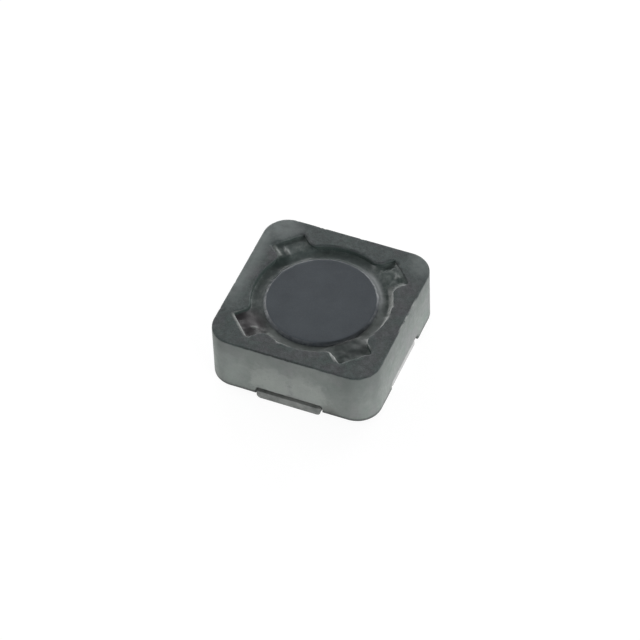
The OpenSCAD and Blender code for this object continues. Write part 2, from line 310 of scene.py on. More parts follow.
def shield_grid():
    """Rings of points round the shield's section, from the foot of the bore up, over and back."""
    inner, outer = opening_outline(), side_outline()
    inner_out, outer_out = plan_normals(inner), plan_normals(outer)

    def inside(depth, z):
        return raised(inner + inner_out * depth, z)

    def outside(depth, z):
        return raised(outer - outer_out * depth, z)

    edges = [
        rounding(inside, FOOT_EDGE_R, SHIELD_FOOT, 1, 90, 0, 4),
        rounding(inside, BORE_EDGE_R, SHIELD_TOP, -1, 0, 90, 8),
        rounding(outside, OUTER_EDGE_R, SHIELD_TOP, -1, 90, 0, 6),
        rounding(outside, OUTER_EDGE_R, SHIELD_FOOT, 1, 0, 90, 5),
    ]
    rings = []
    for edge, following, count in zip(edges, edges[1:] + edges[:1], (40, 22, 40, 14)):
        rings += edge + between(edge[-1], following[0], count)
    return np.array(rings)


# Small chips at random along the upper edges of the opening and of the sides: how many, and their size
OPENING_CHIPS = (34, 0.16)
SIDE_CHIPS = (26, 0.11)

# Places where the edge of the opening is worn down, as (x, y, radius, depth)
WORN_SPOTS = [
    (2.68, -4.28, 0.32, 0.08),
    (3.0, -4.58, 0.24, 0.05),
    (-2.3, -4.12, 0.22, 0.05),
    (-1.2, -4.57, 0.25, 0.05),
    (4.6, 1.1, 0.3, 0.05),
    (4.72, 0.2, 0.35, 0.05),
    (-4.45, 3.0, 0.25, 0.06),
]


def chip(grid, normals, place, radius, depth):
    """Breaks a shallow shell-shaped chip out of an edge, into the material."""
    away = np.linalg.norm(grid - place, axis=2) / radius
    share = np.clip(1 - away**2, 0, 1) ** 1.5
    grid -= normals * (share * depth)[:, :, None]


def window_cutter():
    """Four prisms through the foot of the shield's sides, flared a little at the face."""
    half, top, r = WINDOW_HALF, SHIELD_FOOT + WINDOW_H, WINDOW_CORNER_R
    below = SHIELD_FOOT - CUT_PAST
    outline = np.concatenate([
        [(-half, below), (half, below)],
        arc((half - r, top - r), r, 0, 90, 8),
        arc((-half + r, top - r), r, 90, 180, 8),
    ])
    centre = np.array([0, (below + top) / 2])
    out = outline - centre
    out = np.sign(out) * np.minimum(1, np.abs(out) * 20)
    points, faces = [], []
    flare = 0.3
    depths = [(HALF_SIDE + flare, flare + WINDOW_EDGE), (HALF_SIDE - WINDOW_EDGE, 0), (BORE_R * 0.75, 0)]
    for turn in QUARTERS:
        rings = []
        for y, grow in depths:
            section = outline + out * grow
            ring = np.column_stack([section[:, 0], np.full(len(section), -y)])
            rings.append(raised(turned(ring, turn), section[:, 1]))
        loft(points, faces, rings)
    cutter = make_object("window_cutter", points, faces)
    orient_outwards(cutter)
    return cutter


def build_shield():
    """The ferrite shield with soft edges, small chips and slightly uneven pressed faces."""
    grid = shield_grid()
    normals = -grid_normals(grid, close_rings=True)
    grid = moved_out(grid, normals, uneven(grid.reshape(-1, 3), SHIELD_WAVES))
    rng = random.Random(4)
    inner, outer = opening_outline(), side_outline()
    for outline, (count, size) in ((inner, OPENING_CHIPS), (outer, SIDE_CHIPS)):
        for _ in range(count):
            point = outline[rng.randrange(len(outline))]
            place = np.array([point[0], point[1], SHIELD_TOP])
            chip(grid, normals, place, size * rng.uniform(0.6, 1.7), size * rng.uniform(0.1, 0.35))
    for x, y, radius, depth in WORN_SPOTS:
        chip(grid, normals, np.array([x, y, SHIELD_TOP]), radius, depth)
    rings, count = grid.shape[:2]
    shield = make_object("shield", grid.reshape(-1, 3), grid_faces(rings, count, close_rings=True))
    orient_outwards(shield)
    cut_away(shield, window_cutter())
    smooth_by_angle(shield, 50)
    return shield


# -------------------- drum


# Steps round the drum, and the number of chips along its rim
DRUM_STEPS = 288
RIM_CHIPS = 20


def drum_profile():
    """Radius and height round the drum's half section, from the middle of the top to that of the foot."""
    flat_r = FLANGE_R - RIM_R
    low_top = DRUM_FOOT + FLANGE_T
    top_low = DRUM_TOP - FLANGE_T
    small = FLANGE_EDGE
    innermost = 0.15
    return np.concatenate([
        [(r, DRUM_TOP) for r in np.linspace(innermost, flat_r, 26)],
        arc((flat_r, DRUM_TOP - RIM_R), RIM_R, 90, 0, 8)[1:],
        [(FLANGE_R, z) for z in np.linspace(DRUM_TOP - RIM_R, top_low + small, 8)[1:]],
        arc((FLANGE_R - small, top_low + small), small, 0, -90, 3)[1:],
        [(r, top_low) for r in np.linspace(FLANGE_R - small, POST_R + small, 6)[1:]],
        [(POST_R, top_low - small)],
        [(POST_R, z) for z in np.linspace(top_low - small, low_top + small, 6)[1:]],
        [(r, low_top) for r in np.linspace(POST_R + small, FLANGE_R - small, 6)],
        arc((FLANGE_R - small, low_top - small), small, 90, 0, 3)[1:],
        arc((FLANGE_R - small, DRUM_FOOT + small), small, 0, -90, 3),
        [(r, DRUM_FOOT) for r in np.linspace(FLANGE_R - small, innermost, 10)[1:]],
    ])


def lead_places():
    """Where the wire passes down through the lower flange, as (x, y) for each lead."""
    co = np.array([v.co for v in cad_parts["winding"].data.vertices]) / MM
    level = co[np.abs(co[:, 2] - (DRUM_FOOT + FLANGE_T / 2)) < FLANGE_T / 2]
    right, left = level[level[:, 0] > 0], level[level[:, 0] < 0]
    return [tuple((side[:, :2].min(axis=0) + side[:, :2].max(axis=0)) / 2) for side in (right, left)]


def slot_cutter():
    """Two slots with round ends, from the leads out past the rim of the lower flange."""
    points, faces = [], []
    r = LEAD_SLOT_W / 2
    top = DRUM_FOOT + FLANGE_T + FLANGE_EDGE
    for x, y in lead_places():
        way = 1 if x > 0 else -1
        plan = np.concatenate([arc((abs(x), 0), r, 90, 270, 16), [(FLANGE_R + 1, -r), (FLANGE_R + 1, r)]])
        plan = plan * [way, way] + [0, y]
        loft(points, faces, [raised(plan, DRUM_FOOT - CUT_PAST), raised(plan, top)])
    cutter = make_object("slot_cutter", points, faces)
    orient_outwards(cutter)
    return cutter


def build_drum():
    """The ferrite drum, turned from its section, with small chips along its upper rim."""
    profile = drum_profile()
    count = DRUM_STEPS
    ring = ways(np.arange(count) * 360 / count)
    grid = np.array([raised(ring * r, z) for r, z in profile])
    normals = grid_normals(grid, close_rings=False)
    normals *= np.sign(normals[0, 0, 2])
    grid = moved_out(grid, normals, uneven(grid.reshape(-1, 3), DRUM_WAVES))
    rng = random.Random(11)
    for _ in range(RIM_CHIPS):
        a = rng.uniform(0, 2 * math.pi)
        edge = FLANGE_R - RIM_R * 0.3
        place = np.array([edge * math.cos(a), edge * math.sin(a), DRUM_TOP - RIM_R * 0.3])
        chip(grid, normals, place, rng.uniform(0.08, 0.22), rng.uniform(0.01, 0.04))
    rings = len(profile)
    points = list(grid.reshape(-1, 3)) + [(0, 0, DRUM_TOP), (0, 0, DRUM_FOOT)]
    faces = grid_faces(rings, count)
    top, foot = len(points) - 2, len(points) - 1
    last = (rings - 1) * count
    faces += [(top, j, (j + 1) % count) for j in range(count)]
    faces += [(foot, last + (j + 1) % count, last + j) for j in range(count)]
    drum = make_object("drum", points, faces)
    orient_outwards(drum)
    cut_away(drum, slot_cutter())
    smooth_by_angle(drum, 50)
    return drum


# -------------------- adhesive

# Level of the bead away from the rim, and the direction in plan of the side with more of it
BEAD_LEVEL = DRUM_TOP - 0.24
FULL_SIDE = 35

# Each corner: its angle, how far its dab lies below the shield's top, where the dab starts and is full
# outside the bore, and its lumps as (out, across, length out, length across, height)
CORNERS = {
    "back_right": (45, 0.21, -0.8, 0.0, [
        (0.72, -0.25, 0.18, 0.42, 0.12),
        (0.45, 0.95, 0.6, 0.3, -0.14),
        (1.15, -0.2, 0.35, 1.0, 0.09),
        (0.6, -1.1, 0.7, 0.35, 0.06),
    ]),
    "back_left": (135, 0.24, -0.8, 0.0, [
        (0.67, 1.02, 0.6, 0.18, 0.10),
        (0.3, 0.42, 0.5, 0.18, 0.12),
        (0.1, 1.35, 0.4, 0.18, 0.10),
        (1.1, -0.2, 0.3, 0.9, -0.08),
    ]),
    "front_left": (225, 0.34, -0.3, 0.5, [
        (0.2, 0.3, 0.45, 0.2, 0.07),
        (0.55, 0.85, 0.45, 0.4, -0.02),
        (0.9, -0.9, 0.4, 0.4, -0.04),
    ]),
    "front_right": (315, 0.39, -1.0, -0.74, [
        (0.1, 0.44, 0.75, 0.7, 0.04),
    ]),
}


def smooth_step(value, low, high):
    """0 below low, 1 above high, and a smooth rise between them."""
    t = np.clip((value - low) / (high - low), 0, 1)
    return t * t * (3 - 2 * t)


def bead_level(points):
    """Height of the bead round the rim. It is drawn up the rim, most on the side that got more of it."""
    radius = np.linalg.norm(points, axis=1)
    around = np.arctan2(points[:, 1], points[:, 0])
    full = smooth_step(np.cos(around - math.radians(FULL_SIDE)), 0.1, 0.8)
    far = smooth_step(np.cos(around - math.radians(RIM_FAR_SIDE_ANGLE)), -0.7, 0.1)
    beyond = np.maximum(radius - FLANGE_R, 0)
    drawn_up = (0.04 + 0.08 * far) * np.exp(-beyond / 0.28) + 0.05 * full * np.exp(-beyond / 0.35)
    return BEAD_LEVEL + 0.03 * full + drawn_up


def wall_distance(points):
    """Distance of plan points from the nearest wall of the shield's opening."""
    outline = opening_outline()
    away = points[:, None, :] - outline[None, :, :]
    return np.sqrt((away**2).sum(axis=2).min(axis=1))


def adhesive_level(points):
    """Height of the adhesive over plan points: the bead, and a lumpy dab towards each pocket."""
    level = bead_level(points)
    for angle, below_top, start, full, lumps in CORNERS.values():
        local = turned(points, -angle)
        out, across = local[:, 0] - BORE_R, local[:, 1]
        share = smooth_step(out, start, full) * (1 - smooth_step(np.abs(across), 1.1, 2.1))
        dab = SHIELD_TOP - below_top - 0.06 * (across / POCKET_HALF) ** 2
        for lump_out, lump_across, length_out, length_across, height in lumps:
            far = ((out - lump_out) / length_out) ** 2 + ((across - lump_across) / length_across) ** 2
            dab += height * np.exp(-far * 1.6)
        level = level * (1 - share) + dab * share
    wall = wall_distance(points)
    level += 0.06 * np.exp(-wall / 0.09) + 0.05 * np.exp(-wall / 0.3)
    level += uneven(raised(points, 0), ADHESIVE_WAVES)
    return np.minimum(level, SHIELD_TOP - 0.04)


def adhesive_patch(name, inner, outer, steps, foot, closed):
    """A closed solid of adhesive between two plan lines, with an uneven top and a flat foot."""
    count = len(inner)
    rows = [inner * (1 - t) + outer * t for t in np.linspace(0, 1, steps + 1)]
    layers = [raised(row, adhesive_level(row)) for row in rows]
    layers += [raised(rows[-1], foot), raised(rows[0], foot)]
    rings = len(layers)
    faces = grid_faces(rings, count, close_rings=True, close_count=closed)
    if not closed:
        faces.append(tuple(i * count for i in range(rings)))
        faces.append(tuple(i * count + count - 1 for i in reversed(range(rings))))
    patch = make_object(name, np.concatenate(layers), faces)
    orient_outwards(patch)
    smooth_by_angle(patch, 50)
    return patch


def build_rim_bead():
    """The bead of adhesive all round the drum's upper rim."""
    ring = ways(np.arange(720) / 2)
    under_rim = FLANGE_R - 0.6 * RIM_R
    return adhesive_patch("rim_bead", ring * under_rim, ring * BORE_R, 18, BEAD_FOOT, closed=True)


def build_corner_dab(name):
    """The dab of adhesive in one corner pocket, from the bore out to the pocket's end."""
    angle = CORNERS[name][0]
    outline = turned(opening_outline(), -angle)
    directions = np.degrees(np.arctan2(outline[:, 1], outline[:, 0]))
    radii = np.linalg.norm(outline, axis=1)
    order = np.argsort(directions)
    mouth = math.degrees(math.asin((POCKET_HALF + LIP_R) / (BORE_R + LIP_R)))
    places = np.linspace(-mouth, mouth, 180)
    reach = np.interp(places, directions[order], radii[order])
    ring = ways(places)
    inner = turned(ring * BORE_R, angle)
    outer = turned(ring * np.maximum(reach, BORE_R + 0.004)[:, None], angle)
    foot = node_box("corner_bond_" + name)[0][2]
    return adhesive_patch("dab_" + name, inner, outer, 30, foot, closed=False)


# -------------------- base, terminals, solder and wire

WELD_DISTANCE = 0.0005
BASE_BEVEL = 0.04
STRIP_BEVEL = 0.03
SOLDER_VOXEL = 0.018


def bare_copy(node, name):
    """A copy of a CAD node's object, without its material."""
    copy = bpy.data.objects.new(name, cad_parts[node].data.copy())
    copy.data.materials.clear()
    bpy.context.scene.collection.objects.link(copy)
    return copy


def weld(thing, flatten=False):
    """Joins the doubled points of a mesh and, on request, dissolves the edges inside its flat faces."""
    work = bmesh.new()
    work.from_mesh(thing.data)
    bmesh.ops.remove_doubles(work, verts=work.verts, dist=WELD_DISTANCE * MM)
    if flatten:
        bmesh.ops.dissolve_limit(work, angle_limit=math.radians(1), verts=work.verts, edges=work.edges)
    work.to_mesh(thing.data)
    work.free()


def softened_copy(node, name, bevel):
    """A copy of a CAD node with its sharp edges rounded a little."""
    copy = bare_copy(node, name)
    weld(copy, flatten=True)
    rounded = copy.modifiers.new("rounding", "BEVEL")
    rounded.width = bevel * MM
    rounded.segments = 3
    rounded.limit_method = "ANGLE"
    rounded.angle_limit = math.radians(35)
    apply_modifiers(copy)
    smooth_by_angle(copy, 40)
    return copy


def build_solder(node, name):
    """A solder joint: its notch filled, with the surface drawn smooth by its own tension."""
    joint = bare_copy(node, name)
    remesh = joint.modifiers.new("remesh", "REMESH")
    remesh.mode = "VOXEL"
    remesh.voxel_size = SOLDER_VOXEL * MM
    smooth = joint.modifiers.new("tension", "SMOOTH")
    smooth.factor = 0.5
    smooth.iterations = 6
    apply_modifiers(joint)
    smooth_by_angle(joint, 180)
    return joint


def build_wire():
    """The winding, its wire rounded from the CAD tube by subdivision."""
    wire = bare_copy("winding", "wire")
    weld(wire)
    rounded = wire.modifiers.new("rounding", "SUBSURF")
    rounded.levels = 1
    apply_modifiers(wire)
    smooth_by_angle(wire, 180)
    return wire


# -------------------- node trees


class Tree:
    """The node tree of a material or a world, with a short way to add a node."""

    def __init__(self, owner):
        owner.use_nodes = True
        self.nodes = owner.node_tree.nodes
        self.links = owner.node_tree.links

    def feed(self, node, inputs):
        """Puts a value, a colour or another node's output into each of a node's inputs that is named."""
        for name, value in inputs.items():
            socket = node.inputs[name]
            if isinstance(value, bpy.types.NodeSocket):
                self.links.new(value, socket)
            elif socket.type == "RGBA":
                socket.default_value = (*value, 1)
            else:
                socket.default_value = value
        return node

    def add(self, kind, inputs, operation=None):
        """A new node with its inputs fed."""
        node = self.nodes.new(kind)
        if operation:
            node.operation = operation
        return self.feed(node, inputs)

    def math(self, operation, a, b=0):
        """One step of arithmetic with two values."""
        return self.add("ShaderNodeMath", {0: a, 1: b}, operation).outputs[0]


class Paint(Tree):
    """A material's node tree, with short ways to add what the finishes share.

    Places and distances are in millimetres, and a share runs from 0 to 1.
    """

    def __init__(self, name):
        self.material = bpy.data.materials.new(name)
        super().__init__(self.material)
        self.shader = self.nodes["Principled BSDF"]
        metres = self.nodes.new("ShaderNodeTexCoord").outputs["Object"]
        self.place = self.vector("SCALE", {0: metres, "Scale": 1 / MM})["Vector"]

    def vector(self, operation, inputs):
        """The outputs of one step of arithmetic with vectors."""
        return self.add("ShaderNodeVectorMath", inputs, operation).outputs

    def times(self, first, *others):
        """The product of some values."""
        for other in others:
            first = self.math("MULTIPLY", first, other)
        return first

    def most(self, first, *others):
        """The largest of some values."""
        for other in others:
            first = self.math("MAXIMUM", first, other)
        return first

    def spread(self, value, low, high, out_low=0.0, out_high=1.0):
        """A value mapped from one range to another, and held at its ends."""
        return self.add("ShaderNodeMapRange", {
            "Value": value,
            "From Min": low,
            "From Max": high,
            "To Min": out_low,
            "To Max": out_high,
        }).outputs["Result"]

    def mix(self, share, first, second):
        """The first colour, with a share of the second."""
        node = self.nodes.new("ShaderNodeMix")
        node.data_type = "RGBA"
        return self.feed(node, {0: share, 6: first, 7: second}).outputs[2]

    def over(self, colour, coats):
        """A colour under some coats laid over it in turn, each a share and a colour."""
        for share, coat in coats:
            colour = self.mix(share, colour, coat)
        return colour

    def noise(self, per_mm, detail=3.0, roughness=0.55, distortion=0.0):
        """Soft noise from 0 to 1."""
        return self.add("ShaderNodeTexNoise", {
            "Vector": self.place,
            "Scale": per_mm,
            "Detail": detail,
            "Roughness": roughness,
            "Distortion": distortion,
        }).outputs["Fac"]

    def cells(self, per_mm):
        """Distance from the middle of the nearest of some scattered cells."""
        return self.add("ShaderNodeTexVoronoi", {"Vector": self.place, "Scale": per_mm}).outputs["Distance"]

    def patches(self, noise, low, high, strength=1.0):
        """Share of patches where a noise runs high: 0 below low, and full strength above high."""
        return self.spread(self.noise(*noise), low, high, 0, strength)

    def drift(self, noise, low, high):
        """A value that drifts with a noise between two ends."""
        return self.spread(self.noise(*noise), 0.3, 0.7, low, high)

    def part(self, vector, axis):
        """One coordinate of a vector."""
        return self.add("ShaderNodeSeparateXYZ", {0: vector}).outputs[axis]

    def level(self):
        """1 on level faces, 0 on upright ones."""
        normal = self.nodes.new("ShaderNodeNewGeometry").outputs["Normal"]
        return self.math("ABSOLUTE", self.part(normal, "Z"))

    def edges(self):
        """Share of the roundings between level and upright faces, with gaps."""
        level = self.level()
        rising = self.spread(level, 0.12, 0.4)
        falling = self.spread(level, 0.93, 0.985, 1, 0)
        return self.times(rising, falling, self.patches((2.3, 4, 0.6), 0.36, 0.58))

    def near(self, centre, inner, outer, strength=1):
        """Full strength within one distance of a point, falling to 0 at another."""
        away = self.vector("DISTANCE", {0: self.place, 1: centre})["Value"]
        return self.spread(away, inner, outer, strength, 0)

    def plan(self):
        """The place with its height taken out."""
        return self.vector("MULTIPLY", {0: self.place, 1: (1, 1, 0)})["Vector"]

    def plan_near(self, x, y, inner, outer, within=1, beyond=0):
        """One value within a distance in plan of an upright line, drifting to another at a second one."""
        away = self.vector("DISTANCE", {0: self.plan(), 1: (x, y, 0)})["Value"]
        return self.spread(away, inner, outer, within, beyond)

    def off_axis(self):
        """Distance in plan from the part's axis."""
        return self.vector("LENGTH", {0: self.plan()})["Value"]

    def along(self, degrees):
        """Distance in plan along a direction."""
        a = math.radians(degrees)
        return self.vector("DOT_PRODUCT", {0: self.place, 1: (math.cos(a), math.sin(a), 0)})["Value"]

    def band(self, value, middle, half, soft):
        """1 where a value lies within half of a middle, falling to 0 over a soft border."""
        off = self.math("ABSOLUTE", self.math("SUBTRACT", value, middle))
        return self.spread(off, half, half + soft, 1, 0)

    def stroke(self, x, y, degrees, half_length, half_width, soft):
        """1 along a straight stroke in plan, round its middle, falling to 0 over a soft border."""
        a = math.radians(degrees)
        ahead = x * math.cos(a) + y * math.sin(a)
        aside = y * math.cos(a) - x * math.sin(a)
        return self.times(self.band(self.along(degrees), ahead, half_length, soft),
                          self.band(self.along(degrees + 90), aside, half_width, soft))

    def outer_wall(self):
        """1 on the shield's upright outer faces, 0 on its level faces and inner walls."""
        away = [self.math("ABSOLUTE", self.part(self.place, axis)) for axis in "XY"]
        far = self.spread(self.most(*away), HALF_SIDE - 0.75, HALF_SIDE - 0.6)
        ragged = self.math("ADD", self.level(), self.spread(self.noise(1.8, 4, 0.6), 0.3, 0.7, -0.25, 0.25))
        return self.times(far, self.spread(ragged, 0.35, 0.6, 1, 0))

    def inner_wall(self):
        """1 on the upright walls of the shield's opening, 0 elsewhere."""
        return self.times(self.spread(self.level(), 0.25, 0.6, 1, 0),
                          self.spread(self.off_axis(), POCKET_END + 0.15, POCKET_END + 0.05))

    def finish(self, colour, rough, height, depth, strength, others={}):
        """The material, with a height as relief of some depth, and values for the shader's other inputs."""
        relief = {"Height": height, "Distance": depth * MM, "Strength": strength}
        bump = self.add("ShaderNodeBump", relief).outputs[0]
        self.feed(self.shader, {"Base Color": colour, "Roughness": rough, "Normal": bump, **others})
        return self.material


# -------------------- ferrite

FERRITE = {"Specular IOR Level": 0.28}

# Places in plan where the edge of the opening is painted pale, partly as rubbing and partly as a highlight,
# as (x, y, reach)
RUBBED_AND_HIGHLIT_PLACES = [
    (4.6, 0.6, 1.75),
    (2.78, -4.4, 0.45),
    (-4.14, -4.14, 0.9),
    (-1.0, -4.6, 0.3),
    (4.4, -2.5, 0.3),
]


def ground_face(paint):
    """Colour of the shield's ground upper face: dark and mottled, with a painted reflection making it paler
    at the left and two corners.
    """
    clouds = paint.patches((0.5, 5, 0.6, 0.5), 0.38, 0.62)
    mauve = paint.patches((0.7, 3, 0.5, 0.3), 0.45, 0.6, 0.7)
    green = paint.patches((0.85, 4, 0.6, 0.4), 0.52, 0.64, 0.6)
    mottle = paint.patches((1.8, 4, 0.65, 0.4), 0.42, 0.6, 0.42)
    fine = paint.patches((3.2, 4, 0.65, 0.3), 0.44, 0.58, 0.6)
    # Painted reflection: the face is paler at the left and at the two back corners.
    left = paint.times(paint.spread(paint.part(paint.place, "X"), -5.6, -4.85, 1, 0),
                       paint.plan_near(-6, 2.2, 3.2, 5.6))
    painted_light = paint.most(left, paint.plan_near(-5.0, 5.2, 0.6, 1.7), paint.plan_near(5.5, 5.5, 0.5, 1.6))
    painted_light = paint.times(painted_light, paint.spread(paint.noise(1.1, 4, 0.6), 0.3, 0.6, 0.45, 0.85))
    return paint.over(paint.mix(clouds, (0.030, 0.044, 0.045), (0.056, 0.073, 0.072)), [
        (mauve, (0.058, 0.052, 0.062)),
        (green, (0.036, 0.062, 0.054)),
        (mottle, (0.082, 0.104, 0.100)),
        (fine, (0.030, 0.036, 0.037)),
        (painted_light, (0.168, 0.193, 0.19)),
    ])


def cloudy_skin(paint):
    """Colour of the pressed skin without its shading, pale and cloudy."""
    drifts = paint.patches((0.42, 6, 0.6, 0.25), 0.40, 0.62)
    return paint.over(paint.mix(drifts, (0.205, 0.229, 0.216), (0.265, 0.286, 0.270)), [
        (paint.patches((0.6, 3, 0.5, 0.3), 0.48, 0.6, 0.5), (0.178, 0.221, 0.200)),
        (paint.patches((0.55, 3, 0.5, 0.4), 0.5, 0.64, 0.6), (0.240, 0.234, 0.242)),
        (paint.patches((3.4, 4, 0.6, 0.3), 0.42, 0.62, 0.3), (0.165, 0.184, 0.173)),
    ])


def pressed_skin(paint):
    """Colour of the shield's pressed sides: paler in patches of the front, with painted shade that darkens
    them upwards and near the front right corner.
    """
    ragged = paint.drift((1.2, 5, 0.65), -0.55, 0.55)
    patch = paint.most(*[paint.near((x, -HALF_SIDE, 1.9), 0.7, 2.1) for x in (-1.1, 1.2)])
    patch = paint.spread(paint.math("ADD", patch, ragged), 0.3, 0.75, 0, 0.75)
    left = paint.near((-5.0, -HALF_SIDE, 2.2), 1.1, 2.4, 0.6)
    height = paint.math("ADD", paint.part(paint.place, "Z"), paint.times(ragged, 1.2))
    # Painted shade: darker upwards, most on the right face.
    upper = paint.spread(height, SHIELD_FOOT + 1.6, SHIELD_TOP + 0.2)
    right = paint.spread(paint.part(paint.place, "X"), HALF_SIDE - 0.6, HALF_SIDE - 0.1, 0.58, 0.82)
    # Painted shade near the front right corner, stronger upwards.
    corner = paint.times(paint.plan_near(HALF_SIDE, -HALF_SIDE, 1.2, 3.6),
                         paint.spread(upper, 0, 1, 0.3, 0.75))
    return paint.over(cloudy_skin(paint), [
        (patch, (0.33, 0.355, 0.335)),
        (left, (0.285, 0.322, 0.301)),
        (paint.times(upper, right), (0.105, 0.120, 0.114)),
        (corner, (0.10, 0.114, 0.108)),
    ])


def rubbed_and_highlit_edges(paint):
    """Share of pale rubbing and painted highlight along the edges of the shield's opening."""
    rubbed_and_highlit = paint.most(*[paint.plan_near(x, y, reach, reach + 0.45) for x, y, reach in RUBBED_AND_HIGHLIT_PLACES])
    edges = paint.times(paint.edges(), paint.spread(rubbed_and_highlit, 0, 1, 0.04, 0.9))
    # Painted highlights along the bore's right edge, the lip of the front right pocket and the end of the
    # front left pocket.
    right = paint.times(paint.band(paint.off_axis(), BORE_R, 0.06, 0.06),
                        paint.plan_near(4.65, 0.9, 1.6, 2.3))
    lip = paint.times(paint.band(paint.along(45), -POCKET_HALF - 0.05, 0.17, 0.08),
                      paint.plan_near(2.75, -4.35, 0.4, 0.7))
    end = paint.times(paint.band(paint.along(225), POCKET_END + 0.07, 0.05, 0.12),
                      paint.plan_near(-4.2, -4.2, 0.8, 1.3, 0.75))
    gaps = paint.spread(paint.noise(3.1, 3, 0.6), 0.34, 0.5, 0.35, 0.95)
    return paint.most(edges, paint.times(paint.most(right, lip, end), gaps))


def shield_ferrite():
    """Sintered ferrite: dark, ground upper face, and a paler cloudy skin on the pressed sides."""
    paint = Paint("shield_ferrite")
    edges = paint.edges()
    walls = paint.outer_wall()
    # Painted shade: the walls of the opening are painted dark green.
    opening = paint.times(paint.inner_wall(), paint.math("SUBTRACT", 1, walls))
    grain = paint.patches((12, 3, 0.6), 0.35, 0.7, 0.2)
    pits = paint.spread(paint.cells(6), 0.02, 0.10, 0.8, 0)
    grime = paint.times(edges, paint.plan_near(6.4, 5.4, 2.2, 3.6), paint.patches((1.7, 4, 0.6), 0.4, 0.6))
    # Painted shade along the edges on the near side of the opening.
    near_edge_shade = paint.times(edges, paint.plan_near(-0.8, -4.8, 2.3, 3.0, 0.7))
    # Pale rubbing and painted highlights along the edges of the opening; these edges are also smoother.
    rubbed_and_highlit = rubbed_and_highlit_edges(paint)
    # Painted shade at the foot by the right end of the front window.
    window_foot_shade = paint.near((WINDOW_HALF + 0.6, -HALF_SIDE, SHIELD_FOOT + 0.1), 0.2, 0.95, 0.6)
    # Painted shade along the foot of the shield.
    foot = paint.spread(paint.part(paint.place, "Z"), SHIELD_FOOT + 0.18, SHIELD_FOOT + 0.36, 0.7, 0)
    colour = paint.over(paint.mix(walls, ground_face(paint), pressed_skin(paint)), [
        (opening, (0.031, 0.047, 0.043)),
        (grain, (0.17, 0.18, 0.175)),
        (pits, (0.03, 0.034, 0.034)),
        (grime, (0.030, 0.034, 0.033)),
        (near_edge_shade, (0.022, 0.028, 0.027)),
        (rubbed_and_highlit, (0.30, 0.315, 0.305)),
        (window_foot_shade, (0.075, 0.070, 0.066)),
        (foot, (0.035, 0.040, 0.039)),
    ])
    rough = paint.math("ADD", paint.drift((3, 3), 0.46, 0.62), paint.times(edges, 0.25))
    rough = paint.math("SUBTRACT", rough, paint.times(rubbed_and_highlit, 0.4))
    return paint.finish(colour, rough, paint.noise(4, 5, 0.65), 0.03, 0.5, FERRITE)


def drum_ferrite():
    """Ground ferrite: smoother and bluer than the shield, with a painted highlight on its rim but for one
    side, where the rim has painted shade.
    """
    paint = Paint("drum_ferrite")
    clouds = paint.patches((0.5, 3), 0.35, 0.7)
    grain = paint.patches((18, 2), 0.4, 0.7, 0.14)
    # Painted highlight along the rim, fainter towards the front right and strongest at the left and back
    # right.
    side = paint.spread(paint.along(RIM_FAR_SIDE_ANGLE), -FLANGE_R * 0.45, -FLANGE_R * 0.1, 0.26, 0.34)
    side = paint.times(side, paint.plan_near(2.7, -2.7, 1.4, 2.4, 0.25, 1))
    side = paint.most(side, paint.plan_near(-3.7, -1.2, 1.3, 2.2), paint.plan_near(2.7, 2.7, 1.3, 2.4, 0.95))
    rim = paint.spread(paint.level(), 0.975, 0.995, 1, 0)
    gaps = paint.spread(paint.noise(2.6, 4, 0.6), 0.36, 0.56, 0.35, 1)
    # Painted shade on the rim's near side, by the front right pocket.
    near_rim_shade = paint.plan_near(2.9, -2.5, 1.2, 2.2, 0.85, 0.1)
    colour = paint.over(paint.mix(clouds, (0.038, 0.047, 0.057), (0.049, 0.060, 0.071)), [
        (grain, (0.11, 0.12, 0.13)),
        (paint.times(rim, near_rim_shade), (0.014, 0.018, 0.021)),
        (paint.times(rim, side, gaps), (0.27, 0.285, 0.295)),
    ])
    rough = paint.drift((2.4, 3), 0.40, 0.52)
    return paint.finish(colour, rough, paint.noise(14, 4), 0.006, 0.4, FERRITE)


# -------------------- adhesive finishes

EPOXY = {"Specular IOR Level": 0.36}

# Pale smears and painted highlights on the adhesive in plan, as (x, y, direction, half length, half width,
# strength)
SMEARS_AND_HIGHLIGHTS = [
    (-4.58, 3.1, 144, 0.5, 0.07, 0.6),
    (-3.82, 3.22, 133, 0.22, 0.06, 0.45),
    (4.08, 3.68, 30, 0.22, 0.04, 0.5),
    (-3.3, -3.72, 50, 0.14, 0.05, 0.45),
    (-2.13, -3.92, 331, 0.2, 0.05, 0.5),
]


def pale_smears_and_highlights(paint):
    """Share of pale adhesive along its smears, partly painted highlights."""
    share = paint.most(*[
        paint.times(paint.stroke(x, y, degrees, half_length, half_width, 0.14), strength)
        for x, y, degrees, half_length, half_width, strength in SMEARS_AND_HIGHLIGHTS
    ])
    return paint.times(share, paint.spread(paint.noise(3.1, 3, 0.6), 0.34, 0.5, 0.5, 1))


def cured_epoxy(paint):
    """Colour of the adhesive without its places: near black, streaked and specked."""
    tint = paint.patches((0.9, 4, 0.6, 0.5), 0.38, 0.62)
    streaks = paint.patches((2.4, 4, 0.65, 0.8), 0.45, 0.62, 0.6)
    stains = paint.patches((1.3, 3, 0.6, 0.6), 0.52, 0.66, 0.6)
    specks = paint.patches((3.6, 4, 0.65, 0.5), 0.47, 0.58, 0.55)
    crumbs = paint.patches((2.9, 4, 0.65, 0.5), 0.5, 0.62, 0.4)
    return paint.over(paint.mix(tint, (0.021, 0.033, 0.032), (0.040, 0.055, 0.052)), [
        (streaks, (0.070, 0.092, 0.078)),
        (stains, (0.018, 0.032, 0.029)),
        (specks, (0.020, 0.034, 0.030)),
        (crumbs, (0.105, 0.128, 0.121)),
    ])


